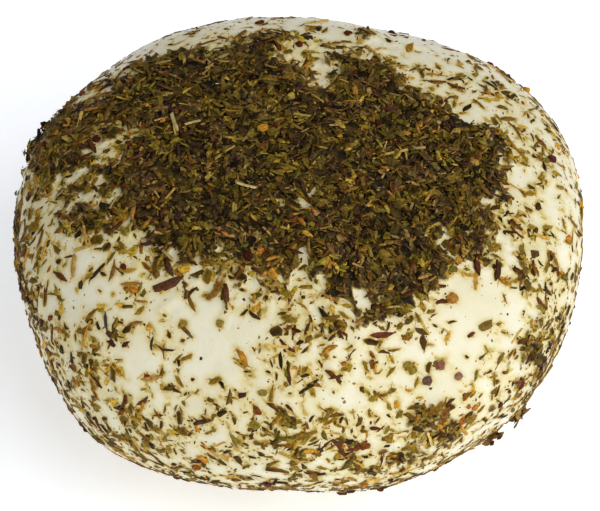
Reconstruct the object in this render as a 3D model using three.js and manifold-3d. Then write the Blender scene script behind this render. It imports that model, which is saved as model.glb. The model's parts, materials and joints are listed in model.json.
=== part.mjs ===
// A squat round of fresh goat cheese, pressed by hand and rolled in dried herbs.
//
// It stands on its foot on the plane z = 0, with the origin under its middle and +Z up. The round is one
// solid: a soft, slightly lumpy body of paste with a cut-flat foot, a low crust where the herbs lie
// thickest, and the largest needles, leaves and pepper crumbs fused to it as relief. Lengths are in
// millimetres, angles in degrees.

import * as THREE from "three";
import { mergeVertices } from "three/addons/utils/BufferGeometryUtils.js";
import Module from "manifold-3d";

const wasm = await Module();
wasm.setup();

// The paste, before its flats: half sizes, height of the middle above the foot, and how square the profile
// is.
const HALF_WIDTH = 57.5;
const HALF_DEPTH = 54.2;
const HALF_HEIGHT = 33.5;
const MIDDLE_HEIGHT = 31;
const PROFILE_POWER = 2.25;

// Soft flats that pressing left all round: azimuth in plan (0 is +X), tilt above the horizon, and distance
// from the middle.
const FLAT_POWER = 14;
const FLATS = [
  { azimuth: 7, tilt: 7, distance: 54.1 },
  { azimuth: 29, tilt: 26, distance: 55 },
  { azimuth: 51, tilt: 38, distance: 49.2 },
  { azimuth: 79, tilt: 44, distance: 42.5 },
  { azimuth: 120, tilt: 41, distance: 46.8 },
  { azimuth: 149, tilt: 27, distance: 51 },
  { azimuth: 171, tilt: 8, distance: 53.8 },
  { azimuth: -166, tilt: -14, distance: 49.5 },
  { azimuth: -101, tilt: -44, distance: 44.7 },
  { azimuth: -63, tilt: -42, distance: 48 },
  { azimuth: -32, tilt: -28, distance: 50.7 },
  { azimuth: -11, tilt: -11, distance: 51.6 },
  { azimuth: 0, tilt: 90, distance: 32.1 },
];

// Hand-made waviness of the paste, and the thickness of the herb crust where the cover is full.
const LUMP_HEIGHT = 0.4;
const CRUST_THICKNESS = 0.8;

// Herb cover, from 0, bare, to 1, thick: a cap over the top that ends at these angles from the top, by
// azimuth, a lower level on the sides, a higher one near the foot, and patches laid over them in turn.
const CAP_EDGE = [
  { azimuth: -180, polar: 72 },
  { azimuth: -165, polar: 61 },
  { azimuth: -158, polar: 66 },
  { azimuth: -150, polar: 62 },
  { azimuth: -140, polar: 55 },
  { azimuth: -120, polar: 55 },
  { azimuth: -110, polar: 50 },
  { azimuth: -100, polar: 51 },
  { azimuth: -95, polar: 56 },
  { azimuth: -90, polar: 51 },
  { azimuth: -85, polar: 54 },
  { azimuth: -80, polar: 62 },
  { azimuth: -75, polar: 65 },
  { azimuth: -68, polar: 63 },
  { azimuth: -58, polar: 64 },
  { azimuth: -52, polar: 62 },
  { azimuth: -48, polar: 58 },
  { azimuth: -42, polar: 60 },
  { azimuth: -36, polar: 61 },
  { azimuth: -30, polar: 56 },
  { azimuth: -10, polar: 56 },
  { azimuth: 0, polar: 51 },
  { azimuth: 10, polar: 42 },
  { azimuth: 20, polar: 36 },
  { azimuth: 60, polar: 39 },
  { azimuth: 90, polar: 40 },
  { azimuth: 130, polar: 42 },
  { azimuth: 140, polar: 51 },
  { azimuth: 155, polar: 60 },
  { azimuth: 170, polar: 69 },
];
const CAP_SOFTNESS = 5;
const SIDE_COVER = 0.4;
const LOW_COVER = 0.56;
const LOW_BAND_START = 73;
const LOW_BAND_END = 80;
const PATCHES = [
  { polar: 20, azimuth: 80, radius: 13, edge: 6, cover: 0.8 }, // thin place at the back of the cap
  { polar: 23, azimuth: 70, radius: 5, edge: 3, cover: 0.3 },
  { polar: 31, azimuth: 86, radius: 6, edge: 4, cover: 0.45 },
  { polar: 35, azimuth: 52, radius: 6, edge: 4, cover: 0.8 },
  { polar: 60, azimuth: 155, radius: 9, edge: 5, cover: 0.6 }, // pale streaks over the left shoulder
  { polar: 50, azimuth: -172, radius: 6, edge: 4, cover: 0.45 },
  { polar: 53, azimuth: -160, radius: 5, edge: 4, cover: 0.55 },
  { polar: 60, azimuth: 178, radius: 7, edge: 4, cover: 0.75 },
  { polar: 69, azimuth: -158, radius: 5, edge: 3, cover: 0.3 },
  { polar: 80, azimuth: -165, radius: 13, edge: 6, cover: 0.66 }, // low on the left
  { polar: 67, azimuth: -141, radius: 7, edge: 4, cover: 0.14 }, // bare left side
  { polar: 80, azimuth: -132, radius: 8, edge: 5, cover: 0.56 },
  { polar: 67, azimuth: -113, radius: 11, edge: 4, cover: 0.04 }, // bare front, left of the tongue
  { polar: 73, azimuth: -123, radius: 6, edge: 4, cover: 0.2 },
  { polar: 55, azimuth: -111, radius: 3, edge: 2, cover: 0.7 },
  { polar: 55, azimuth: -97, radius: 5, edge: 3, cover: 0.8 },
  { polar: 71, azimuth: -99, radius: 3, edge: 2, cover: 0.25 },
  { polar: 84, azimuth: -100, radius: 6, edge: 4, cover: 0.58 },
  { polar: 93, azimuth: -106, radius: 7, edge: 4, cover: 0.4 },
  { polar: 60, azimuth: -91, radius: 5, edge: 3, cover: 0.4 },
  { polar: 64, azimuth: -88, radius: 4, edge: 3, cover: 0.62 },
  { polar: 75, azimuth: -74, radius: 10, edge: 4, cover: 0.08 }, // bare front, under the tongue
  { polar: 63, azimuth: -82, radius: 4, edge: 3, cover: 0.7 },
  { polar: 72, azimuth: -90, radius: 5, edge: 3, cover: 0.25 },
  { polar: 70, azimuth: -79, radius: 5, edge: 3, cover: 0.62 },
  { polar: 82, azimuth: -73, radius: 3, edge: 2, cover: 0.5 },
  { polar: 67, azimuth: -53, radius: 7, edge: 3, cover: 0.03 }, // bare front, right of the tongue
  { polar: 71, azimuth: -40, radius: 5, edge: 3, cover: 0.1 },
  { polar: 73, azimuth: -60, radius: 7, edge: 4, cover: 0.12 },
  { polar: 87, azimuth: -53, radius: 8, edge: 4, cover: 0.3 },
  { polar: 85, azimuth: -64, radius: 5, edge: 3, cover: 0.72 }, // thick spot low in front
  { polar: 83, azimuth: -46, radius: 4, edge: 3, cover: 0.55 },
  { polar: 72, azimuth: -28, radius: 4, edge: 3, cover: 0.6 },
  { polar: 76, azimuth: -33, radius: 4, edge: 3, cover: 0.6 },
  { polar: 80, azimuth: -41, radius: 4, edge: 3, cover: 0.7 },
  { polar: 62, azimuth: -34, radius: 5, edge: 3, cover: 0.65 },
  { polar: 66, azimuth: -12, radius: 10, edge: 5, cover: 0.22 }, // bare right side
  { polar: 67, azimuth: -26, radius: 4, edge: 3, cover: 0.6 },
  { polar: 82, azimuth: -10, radius: 11, edge: 6, cover: 0.34 },
  { polar: 62, azimuth: 4, radius: 6, edge: 4, cover: 0.4 },
  { polar: 55, azimuth: 5, radius: 3, edge: 2, cover: 0.2 },
  { polar: 57, azimuth: -7, radius: 2.5, edge: 2, cover: 0.6 },
  { polar: 48, azimuth: 12, radius: 6, edge: 4, cover: 0.25 },
  { polar: 60, azimuth: 22, radius: 9, edge: 5, cover: 0.3 },
  { polar: 52, azimuth: 20, radius: 4, edge: 3, cover: 0.65 },
  { polar: 36, azimuth: 25, radius: 3, edge: 2, cover: 0.3 },
  { polar: 56, azimuth: 62, radius: 22, edge: 7, cover: 0.1 }, // bare back shoulder
  { polar: 52, azimuth: 112, radius: 13, edge: 6, cover: 0.2 },
  { polar: 62, azimuth: 138, radius: 12, edge: 5, cover: 0.22 },
  { polar: 39, azimuth: 62, radius: 4, edge: 3, cover: 0.7 },
  { polar: 32, azimuth: -105, radius: 2, edge: 1, cover: 0.3 }, // small gaps in the cap
  { polar: 33, azimuth: -86, radius: 1.5, edge: 1, cover: 0.3 },
  { polar: 53, azimuth: -50, radius: 1.5, edge: 1, cover: 0.1 },
  { polar: 57, azimuth: -73, radius: 1.5, edge: 1, cover: 0.2 },
];

// The pieces that stand out most, as relief: length, width and thickness, with the number of sides of
// their section.
const RELIEF_TRIES = 1500;
const RELIEF_ORDER_STEP = 641; // visits the spots in a scattered order
const RELIEF_SEED = 37;
const RELIEF_KINDS = [
  { name: "needle", share: 0.5, length: [4.2, 7.0], width: [1.1, 1.6], thickness: 1.0, sides: 4 },
  { name: "leaf", share: 0.38, length: [3.0, 4.6], width: [1.9, 2.8], thickness: 0.9, sides: 5 },
  { name: "crumb", share: 0.12, length: [1.9, 2.6], width: [1.6, 2.2], thickness: 1.8, sides: 5 },
];
const RELIEF_TILT = 10;
const RELIEF_RISE = 0.15; // from the skin up to the middle of a piece
const RELIEF_SPACING = 6.2;
const RELIEF_MOST = 208;
const RELIEF_FLOOR = 2.0; // no piece starts lower than this

// Tufts of matted herbs that stand out low on the sides: two in front on the right, and one on the left.
const TUFTS = [
  { azimuth: -38, height: 20, pieces: 8, spread: 3, seed: 5 },
  { azimuth: -46, height: 19, pieces: 4, spread: 2, seed: 8 },
  { azimuth: -149, height: 11, pieces: 3, spread: 1.5, seed: 3 },
];
const TUFT_RISE = [0.2, 1.3]; // of the lowest piece, and just above the highest
const TUFT_TILT = [-10, 30];

const SKIN_DETAIL = 12;
const FOOT_BLOCK_DEPTH = 20; // of the block that cuts the foot flat
const SMALLEST_EDGE = 0.04; // finer slivers, left where pieces cross, are smoothed away
const SLOPE_STEP = 0.03; // of the unit direction, when the skin's slope is measured
const HALVINGS = 40; // of the range of tilts, when a height is looked for
const radians = THREE.MathUtils.degToRad;
const degrees = THREE.MathUtils.radToDeg;

// A repeatable stream of numbers from 0 to 1.
function randomStream(seed) {
  let state = seed >>> 0;
  return () => {
    state = (state + 0x6d2b79f5) >>> 0;
    let t = Math.imul(state ^ (state >>> 15), 1 | state);
    t = (t + Math.imul(t ^ (t >>> 7), 61 | t)) ^ t;
    return ((t ^ (t >>> 14)) >>> 0) / 4294967296;
  };
}

function directionTo(azimuth, tilt) {
  const level = Math.cos(radians(tilt));
  return new THREE.Vector3(
    level * Math.cos(radians(azimuth)),
    level * Math.sin(radians(azimuth)),
    Math.sin(radians(tilt)),
  );
}

const flatPlanes = FLATS.map(({ azimuth, tilt, distance }) => ({
  normal: directionTo(azimuth, tilt),
  distance,
}));
const patchCentres = PATCHES.map((patch) => ({
  ...patch,
  centre: directionTo(patch.azimuth, 90 - patch.polar),
}));

// Distance from the middle to the smooth skin: a rounded puck, with its flats blended in by a high power.
function smoothRadius(d) {
  const level = Math.hypot(d.x / HALF_WIDTH, d.y / HALF_DEPTH) ** PROFILE_POWER;
  const rise = (Math.abs(d.z) / HALF_HEIGHT) ** PROFILE_POWER;
  const puck = (level + rise) ** (1 / PROFILE_POWER);
  let sum = puck ** FLAT_POWER;
  for (const { normal, distance } of flatPlanes)
    sum += (Math.max(0, d.dot(normal)) / distance) ** FLAT_POWER;
  return sum ** (-1 / FLAT_POWER);
}

function lumps(d) {
  return (
    Math.sin(7 * d.x + 4 * d.y + 1) * Math.sin(6 * d.z - 3 * d.x + 2) +
    0.7 * Math.sin(11 * d.y - 6 * d.z + 0.5) * Math.sin(9 * d.x + 5 * d.y)
  );
}

// How far the edges of the herb patches stray, in degrees.
function raggedness(d) {
  return (
    1.1 * Math.sin(13 * d.x + 8 * d.y + 1.3) +
    1.0 * Math.sin(21 * d.y - 13 * d.z + 0.4) +
    0.9 * Math.sin(33 * d.x - 27 * d.y + 9 * d.z)
  );
}

// The angle from the top at which the cap ends, between its stated azimuths.
function capEdge(azimuth) {
  const after = CAP_EDGE.findIndex((stop) => stop.azimuth > azimuth);
  const next = after < 0 ? { ...CAP_EDGE[0], azimuth: CAP_EDGE[0].azimuth + 360 } : CAP_EDGE[after];
  const last = CAP_EDGE.at(after - 1);
  const along = (azimuth - last.azimuth) / (next.azimuth - last.azimuth);
  return THREE.MathUtils.lerp(last.polar, next.polar, along);
}

function herbCover(d) {
  const polar = degrees(Math.acos(THREE.MathUtils.clamp(d.z, -1, 1)));
  let cover = THREE.MathUtils.lerp(
    SIDE_COVER,
    LOW_COVER,
    THREE.MathUtils.smoothstep(polar, LOW_BAND_START, LOW_BAND_END),
  );
  const ragged = raggedness(d);
  const beyond = polar - capEdge(degrees(Math.atan2(d.y, d.x))) + 1.5 * ragged;
  const inCap = 1 - THREE.MathUtils.smoothstep(beyond, -CAP_SOFTNESS, CAP_SOFTNESS);
  cover = THREE.MathUtils.lerp(cover, 1, inCap);
  for (const patch of patchCentres) {
    const away = degrees(Math.acos(THREE.MathUtils.clamp(d.dot(patch.centre), -1, 1))) + ragged;
    const inside =
      1 - THREE.MathUtils.smoothstep(away, patch.radius - patch.edge, patch.radius + patch.edge);
    cover = THREE.MathUtils.lerp(cover, patch.cover, inside);
  }
  return cover;
}

// The point of the skin in a direction from the middle, crust included.
function skinPoint(d) {
  const crust = CRUST_THICKNESS * THREE.MathUtils.smoothstep(herbCover(d), 0.35, 0.95);
  const reach = smoothRadius(d) + LUMP_HEIGHT * lumps(d) + crust;
  return new THREE.Vector3(d.x * reach, d.y * reach, MIDDLE_HEIGHT + d.z * reach);
}

// The frame on the skin there: outward normal and two directions along the skin.
function skinFrame(d) {
  const east = new THREE.Vector3(-d.y, d.x, 0);
  if (east.lengthSq() < 1e-6) east.set(1, 0, 0);
  east.normalize();
  const north = new THREE.Vector3().crossVectors(d, east).normalize();
  const slope = (side) =>
    skinPoint(d.clone().addScaledVector(side, SLOPE_STEP).normalize()).sub(
      skinPoint(d.clone().addScaledVector(side, -SLOPE_STEP).normalize()),
    );
  const normal = new THREE.Vector3().crossVectors(slope(east), slope(north)).normalize();
  const along = east.addScaledVector(normal, -east.dot(normal)).normalize();
  return { normal, along, across: new THREE.Vector3().crossVectors(normal, along) };
}

function solidFrom(geometry) {
  const bare = geometry.clone();
  bare.deleteAttribute("normal");
  bare.deleteAttribute("uv");
  const merged = mergeVertices(bare, 1e-4);
  return new wasm.Manifold(
    new wasm.Mesh({
      numProp: 3,
      vertProperties: merged.attributes.position.array,
      triVerts: new Uint32Array(merged.index.array),
    }),
  );
}

function geometryFrom(solid) {
  const { vertProperties, triVerts } = solid.getMesh();
  const geometry = new THREE.BufferGeometry();
  geometry.setAttribute("position", new THREE.BufferAttribute(new Float32Array(vertProperties), 3));
  geometry.setIndex(new THREE.BufferAttribute(new Uint32Array(triVerts), 1));
  geometry.computeVertexNormals();
  return geometry;
}

function pasteBody() {
  const geometry = new THREE.IcosahedronGeometry(1, SKIN_DETAIL);
  const position = geometry.attributes.position;
  const d = new THREE.Vector3();
  for (let i = 0; i < position.count; i++) {
    const point = skinPoint(d.fromBufferAttribute(position, i).normalize().clone());
    position.setXYZ(i, point.x, point.y, point.z);
  }
  return solidFrom(geometry);
}

// One herb piece lying along +X: a spindle with pointed ends, flattened to its thickness.
function spindle({ sides, thickness }, length, width) {
  const profile = [
    new THREE.Vector2(0, -length / 2),
    new THREE.Vector2(width * 0.38, -length * 0.27),
    new THREE.Vector2(width * 0.5, length * 0.15),
    new THREE.Vector2(0, length / 2),
  ];
  return new THREE.LatheGeometry(profile, sides)
    .rotateZ(-Math.PI / 2)
    .scale(1, 1, thickness / width);
}

function placed(geometry, origin, along, normal) {
  const across = new THREE.Vector3().crossVectors(normal, along).normalize();
  const frame = new THREE.Matrix4().makeBasis(along, across, normal).setPosition(origin);
  return geometry.applyMatrix4(frame);
}

function onSkin(geometry, d, turn, tilt, rise) {
  const { normal, along, across } = skinFrame(d);
  const heading = along.clone().applyAxisAngle(normal, turn);
  const side = new THREE.Vector3().crossVectors(normal, heading);
  heading.applyAxisAngle(side, radians(tilt));
  const up = new THREE.Vector3().crossVectors(heading, side).normalize();
  return placed(geometry, skinPoint(d).addScaledVector(normal, rise), heading, up);
}

// An even spiral of directions over the whole round.
function spiralDirection(i, count) {
  const z = 1 - (2 * (i + 0.5)) / count;
  const turn = i * Math.PI * (3 - Math.sqrt(5));
  const level = Math.sqrt(1 - z * z);
  return new THREE.Vector3(level * Math.cos(turn), level * Math.sin(turn), z);
}

// The largest pieces, spread where the herbs are, with the likelihood of one following the cover.
function reliefPieces() {
  const random = randomStream(RELIEF_SEED);
  const spots = [];
  const pieces = [];
  for (let i = 0; i < RELIEF_TRIES && pieces.length < RELIEF_MOST; i++) {
    const order = (i * RELIEF_ORDER_STEP) % RELIEF_TRIES;
    const d = spiralDirection(order, RELIEF_TRIES);
    const [luck, choice, size, turn, tilt] = [random(), random(), random(), random(), random()];
    const spot = skinPoint(d);
    const tooClose = spots.some((other) => other.distanceTo(spot) < RELIEF_SPACING);
    if (tooClose || spot.z < RELIEF_FLOOR || luck > herbCover(d)) continue;
    let kind = RELIEF_KINDS[0];
    for (let k = 0, sum = 0; k < RELIEF_KINDS.length; k++) {
      sum += RELIEF_KINDS[k].share;
      kind = RELIEF_KINDS[k];
      if (choice < sum) break;
    }
    const length = THREE.MathUtils.lerp(...kind.length, size);
    const width = THREE.MathUtils.lerp(...kind.width, size);
    spots.push(spot);
    pieces.push(
      onSkin(
        spindle(kind, length, width),
        d,
        turn * 2 * Math.PI,
        RELIEF_TILT * (2 * tilt - 1),
        RELIEF_RISE,
      ),
    );
  }
  return pieces;
}

// The direction from the middle to the skin at a height above the foot.
function directionAt(azimuth, height) {
  let low = -89;
  let high = 89;
  for (let i = 0; i < HALVINGS; i++) {
    const tilt = (low + high) / 2;
    if (skinPoint(directionTo(azimuth, tilt)).z < height) low = tilt;
    else high = tilt;
  }
  return directionTo(azimuth, (low + high) / 2);
}

function tuftPieces({ azimuth, height, pieces, spread, seed }) {
  const random = randomStream(seed);
  const kind = RELIEF_KINDS[1];
  return Array.from({ length: pieces }, (_, i) => {
    const sideways = degrees((spread * (2 * random() - 1)) / HALF_WIDTH);
    const d = directionAt(azimuth + sideways, height + 0.5 * spread * (2 * random() - 1));
    const length = THREE.MathUtils.lerp(...kind.length, random());
    const width = THREE.MathUtils.lerp(...kind.width, random());
    const rise = THREE.MathUtils.lerp(...TUFT_RISE, i / pieces);
    const turn = random() * 2 * Math.PI;
    const tilt = THREE.MathUtils.lerp(...TUFT_TILT, random());
    return onSkin(spindle(kind, length, width), d, turn, tilt, rise);
  });
}

// The block under the foot, cut away from the round.
function footCutter() {
  const size = 4 * HALF_WIDTH;
  return new THREE.BoxGeometry(size, size, FOOT_BLOCK_DEPTH).translate(0, 0, -FOOT_BLOCK_DEPTH / 2);
}

function cheeseRound() {
  const herbs = [...reliefPieces(), ...TUFTS.flatMap(tuftPieces)].map(solidFrom);
  const whole = pasteBody().add(wasm.Manifold.union(herbs)).subtract(solidFrom(footCutter()));
  const bodies = whole.decompose().sort((a, b) => b.volume() - a.volume());
  return geometryFrom(bodies[0].asOriginal().simplify(SMALLEST_EDGE));
}

const cheese = new THREE.Mesh(
  cheeseRound(),
  new THREE.MeshStandardMaterial({ color: 0xe8e2c4, roughness: 0.55, metalness: 0 }),
);
cheese.name = "cheese";

const part = new THREE.Group();
part.add(cheese);

export default part;
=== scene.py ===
"""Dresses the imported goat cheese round: its moist white paste, and the dried herbs that coat it.

The file is laid out as an add-on and run as a script. The body formula is in millimetres and degrees, as in
the part's source. Everything that Blender holds is in metres.
"""

import json
import math
import random

import bmesh
import bpy
import numpy as np
from bpy.props import FloatProperty, FloatVectorProperty, IntProperty, PointerProperty
from mathutils import Matrix, Vector, noise
from mathutils.bvhtree import BVHTree

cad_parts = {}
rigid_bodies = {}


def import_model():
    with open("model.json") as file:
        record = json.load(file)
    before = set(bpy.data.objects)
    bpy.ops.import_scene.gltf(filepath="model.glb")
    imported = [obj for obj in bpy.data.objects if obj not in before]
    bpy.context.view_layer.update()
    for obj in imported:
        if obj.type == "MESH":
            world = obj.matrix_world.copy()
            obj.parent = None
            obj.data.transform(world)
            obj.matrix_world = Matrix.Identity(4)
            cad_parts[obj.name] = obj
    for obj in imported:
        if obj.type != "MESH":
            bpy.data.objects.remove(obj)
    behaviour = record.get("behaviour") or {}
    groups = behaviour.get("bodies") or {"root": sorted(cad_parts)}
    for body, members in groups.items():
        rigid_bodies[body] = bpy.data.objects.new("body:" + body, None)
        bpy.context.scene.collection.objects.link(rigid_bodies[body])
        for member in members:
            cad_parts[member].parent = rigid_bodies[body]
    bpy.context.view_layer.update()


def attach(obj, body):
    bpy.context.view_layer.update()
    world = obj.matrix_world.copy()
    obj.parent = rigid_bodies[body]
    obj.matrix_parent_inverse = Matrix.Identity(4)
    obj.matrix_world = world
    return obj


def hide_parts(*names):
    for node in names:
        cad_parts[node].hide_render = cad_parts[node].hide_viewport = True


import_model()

bl_info = {
    "name": "Herb Coated Goat Cheese",
    "version": (1, 0, 0),
    "blender": (4, 5, 0),
    "location": "3D View > Sidebar > Cheese",
    "description": "Builds the paste and the herbs of a goat cheese round over its packed model",
    "category": "Add Mesh",
}

MM = 0.001
IMAGE_WIDTH = 600  # of the photograph, in pixels
SENSOR_WIDTH = 36.0  # of the camera, in millimetres

# The paste, before its flats, as in the part's source.
HALF_WIDTH = 57.5
HALF_DEPTH = 54.2
HALF_HEIGHT = 33.5
MIDDLE_HEIGHT = 31.0
PROFILE_POWER = 2.25

# Soft flats: azimuth, tilt above the horizon, distance from the middle.
FLAT_POWER = 14
FLATS = (
    (7, 7, 54.1),
    (29, 26, 55.0),
    (51, 38, 49.2),
    (79, 44, 42.5),
    (120, 41, 46.8),
    (149, 27, 51.0),
    (171, 8, 53.8),
    (-166, -14, 49.5),
    (-101, -44, 44.7),
    (-63, -42, 48.0),
    (-32, -28, 50.7),
    (-11, -11, 51.6),
    (0, 90, 32.1),
)
LUMP_HEIGHT = 0.4
CRUST_THICKNESS = 0.8

# Herb cover, from 0, bare, to 1, thick: a cap over the top that ends at these angles from the top, by
# azimuth, a lower level on the sides, a higher one near the foot, and patches laid over them in turn.
CAP_EDGE = (
    (-180, 72), (-165, 61), (-158, 66), (-150, 62), (-140, 55), (-120, 55),
    (-110, 50), (-100, 51), (-95, 56), (-90, 51), (-85, 54), (-80, 62),
    (-75, 65), (-68, 63), (-58, 64), (-52, 62), (-48, 58), (-42, 60), (-36, 61),
    (-30, 56), (-10, 56), (0, 51), (10, 42), (20, 36), (60, 39), (90, 40),
    (130, 42), (140, 51), (155, 60), (170, 69),
)
CAP_SOFTNESS = 5
SIDE_COVER = 0.4
LOW_COVER = 0.56
LOW_BAND = (73, 80)
# Angle from the top, azimuth, radius, soft edge, cover.
PATCHES = (
    (20, 80, 13, 6, 0.8),  # thin place at the back of the cap
    (23, 70, 5, 3, 0.3),
    (31, 86, 6, 4, 0.45),
    (35, 52, 6, 4, 0.8),
    (60, 155, 9, 5, 0.6),  # pale streaks over the left shoulder
    (50, -172, 6, 4, 0.45),
    (53, -160, 5, 4, 0.55),
    (60, 178, 7, 4, 0.75),
    (69, -158, 5, 3, 0.3),
    (80, -165, 13, 6, 0.66),  # low on the left
    (67, -141, 7, 4, 0.14),  # bare left side
    (80, -132, 8, 5, 0.56),
    (67, -113, 11, 4, 0.04),  # bare front, left of a tongue of herbs
    (73, -123, 6, 4, 0.2),
    (55, -111, 3, 2, 0.7),
    (55, -97, 5, 3, 0.8),
    (71, -99, 3, 2, 0.25),
    (84, -100, 6, 4, 0.58),
    (93, -106, 7, 4, 0.4),
    (60, -91, 5, 3, 0.4),
    (64, -88, 4, 3, 0.62),
    (75, -74, 10, 4, 0.08),  # bare front, under the tongue
    (63, -82, 4, 3, 0.7),
    (72, -90, 5, 3, 0.25),
    (70, -79, 5, 3, 0.62),
    (82, -73, 3, 2, 0.5),
    (67, -53, 7, 3, 0.03),  # bare front, right of the tongue
    (71, -40, 5, 3, 0.1),
    (73, -60, 7, 4, 0.12),
    (87, -53, 8, 4, 0.3),
    (85, -64, 5, 3, 0.72),  # thick spot low in front
    (83, -46, 4, 3, 0.55),
    (72, -28, 4, 3, 0.6),
    (76, -33, 4, 3, 0.6),
    (80, -41, 4, 3, 0.7),
    (62, -34, 5, 3, 0.65),
    (66, -12, 10, 5, 0.22),  # bare right side
    (67, -26, 4, 3, 0.6),
    (82, -10, 11, 6, 0.34),
    (62, 4, 6, 4, 0.4),
    (55, 5, 3, 2, 0.2),
    (57, -7, 2.5, 2, 0.6),
    (48, 12, 6, 4, 0.25),
    (60, 22, 9, 5, 0.3),
    (52, 20, 4, 3, 0.65),
    (36, 25, 3, 2, 0.3),
    (56, 62, 22, 7, 0.1),  # bare back shoulder
    (52, 112, 13, 6, 0.2),
    (62, 138, 12, 5, 0.22),
    (39, 62, 4, 3, 0.7),
    (32, -105, 2, 1, 0.3),  # small gaps in the cap
    (33, -86, 1.5, 1, 0.3),
    (53, -50, 1.5, 1, 0.1),
    (57, -73, 1.5, 1, 0.2),
)

# Fine creases of the paste: azimuth and angle from the top of both ends, height and width in millimetres.
CREASES = (
    ((64, 43), (47, 46), 0.5, 1.0),
    ((47, 46), (40, 62), 0.5, 1.0),
    ((-84, 61), (-77, 66), 0.4, 0.8),
    ((-105, 77), (-99, 79), 0.35, 0.8),
    ((-122, 64), (-116, 56), 0.4, 0.8),
    ((-152, 70), (-148, 78), 0.4, 0.9),
    ((-48, 80), (-38, 76), 0.4, 0.9),
)

# Herbs that stand out, each put where it lies: azimuth, angle from the top, length in millimetres, slant as
# seen from the front, kind, and colour on screen.
SINGLE_HERBS = (
    (-146, 66, 4.2, 88, "needle", (166, 122, 58)),
    (-140, 64, 4.2, 48, "needle", (40, 34, 26)),
    (-137, 62, 4.0, 76, "needle", (120, 80, 30)),
    (-131, 62, 4.0, 2, "needle", (150, 104, 44)),
    (-123, 59, 5.6, 24, "thick", (84, 50, 30)),
    (-117, 59, 3.0, 40, "needle", (54, 30, 20)),
    (-111, 57, 4.2, 52, "thick", (120, 84, 30)),
    (-127, 64, 2.4, -4, "needle", (150, 112, 40)),
    (-132, 70, 3.4, -84, "needle", (58, 48, 54)),
    (-121, 70, 2.4, 82, "needle", (54, 44, 24)),
    (-126, 68, 3.2, 16, "needle", (128, 90, 40)),
    (-115, 66, 3.4, -44, "needle", (96, 72, 26)),
    (-116, 65, 2.4, 40, "chip", (140, 114, 44)),
    (-129, 73, 2.2, -20, "chip", (62, 28, 20)),
    (-126, 72, 2.4, 40, "chip", (66, 28, 20)),
    (-119, 76, 4.0, 10, "thick", (166, 128, 62)),
    (-120, 76, 1.8, 0, "chip", (110, 40, 26)),
    (-102, 69, 2.8, -24, "needle", (150, 124, 32)),
    (-108, 63, 1.9, 0, "crumb", (146, 124, 50)),
    (-101, 75, 2.2, 30, "chip", (64, 28, 24)),
    (-97, 74, 1.6, 0, "crumb", (136, 116, 50)),
    (-157, 6, 2.6, 30, "chip", (200, 126, 40)),
    (-72, 65, 4.4, 4, "thick", (96, 44, 28)),
    (-62, 73, 2.0, 20, "crumb", (122, 78, 60)),
    (-65, 75, 1.9, 0, "crumb", (92, 66, 54)),
    (-59, 76, 1.7, 0, "crumb", (134, 96, 74)),
    (-54, 63, 2.2, 0, "crumb", (150, 104, 40)),
    (-46, 62, 4.6, 84, "needle", (176, 132, 48)),
    (-47, 61, 3.2, -8, "needle", (180, 134, 44)),
    (-43, 68, 1.9, -70, "needle", (110, 78, 44)),
    (-54, 70, 1.8, 40, "chip", (84, 42, 40)),
    (-50, 70, 3.6, 20, "chip", (110, 84, 30)),
    (-63, 69, 1.8, 14, "needle", (160, 112, 66)),
    (-68, 72, 3.4, -44, "chip", (128, 106, 34)),
    (-89, 73, 2.4, 30, "chip", (50, 40, 26)),
    (-50, 77, 3.4, 60, "thick", (118, 92, 36)),
    (-76, 82, 2.4, 0, "chip", (74, 26, 24)),
    (-80, 86, 3.0, 10, "chip", (104, 50, 24)),
    (-58, 88, 4.0, 30, "needle", (176, 142, 54)),
    (-36, 73, 3.0, -50, "thick", (100, 56, 30)),
    (-2, 63, 2.5, 0, "crumb", (74, 22, 22)),
    (-62, 32, 3.4, 80, "needle", (176, 160, 92)),
    (-52, 36, 3.2, 24, "needle", (196, 178, 116)),
    (-84, 40, 3.6, 18, "thick", (206, 178, 130)),
    (-90, 39, 3.0, 24, "thick", (150, 62, 30)),
)

# Tufts of matted herbs that stand out low on the sides: azimuth, height above the foot, pieces, spread in
# millimetres, and seed.
TUFTS = (
    (-38, 20, 12, 2.6, 5),
    (-46, 19, 8, 2.0, 8),
    (-149, 11, 4, 1.5, 3),
)
TUFT_RISE = (0.2, 1.5)  # of the lowest piece, and just above the highest
TUFT_LENGTHS = (2.0, 4.4)

# Sizes in millimetres of the uneven places of the skin and of its herbs, each with the seed of its noise.
SMEARS = (9.0, 1)
DIMPLES = (3.2, 2)
HEAPS = (2.4, 3)
FRAYS = (3.5, 6)
FINE_FRAYS = (1.6, 7)
CLUMPS = (4.5, 4)
SMALL_CLUMPS = (2.2, 5)

# Shares of cover between which the crust rises, and between which it hides the paste.
CRUST_RISE = (0.35, 0.95)
BED = (0.5, 0.97)
BARE_FOOT = (1.5, 3.5)  # heights in millimetres between which the herbs set in

# The most layers of each kind of herb that lie over one another.
MOST_LAYERS = {"leaves": 4.0, "slivers": 2.6, "needles": 1.1, "dust": 1.6, "crumbs": 1.0}

OUTSIDE = 0.2  # metres from the middle, well clear of the round

# The stage: a floor just under the foot, and one large lamp in front on the right.
FLOOR_HALF = 4.0
FLOOR_DROP = 0.0002
LAMP_AZIMUTH = -46
LAMP_ELEVATION = 46
LAMP_DISTANCE = 1.0
LAMP_SIZE = 0.8
LAMP_AIM_HEIGHT = 0.03


# The body formula


def to_directions(azimuth, tilt):
    azimuth = np.radians(azimuth)
    tilt = np.radians(tilt)
    level = np.cos(tilt)
    return np.stack([level * np.cos(azimuth), level * np.sin(azimuth), np.sin(tilt)], axis=-1)


def smoothstep(value, low, high):
    t = np.clip((value - low) / (high - low), 0.0, 1.0)
    return t * t * (3.0 - 2.0 * t)


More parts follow.
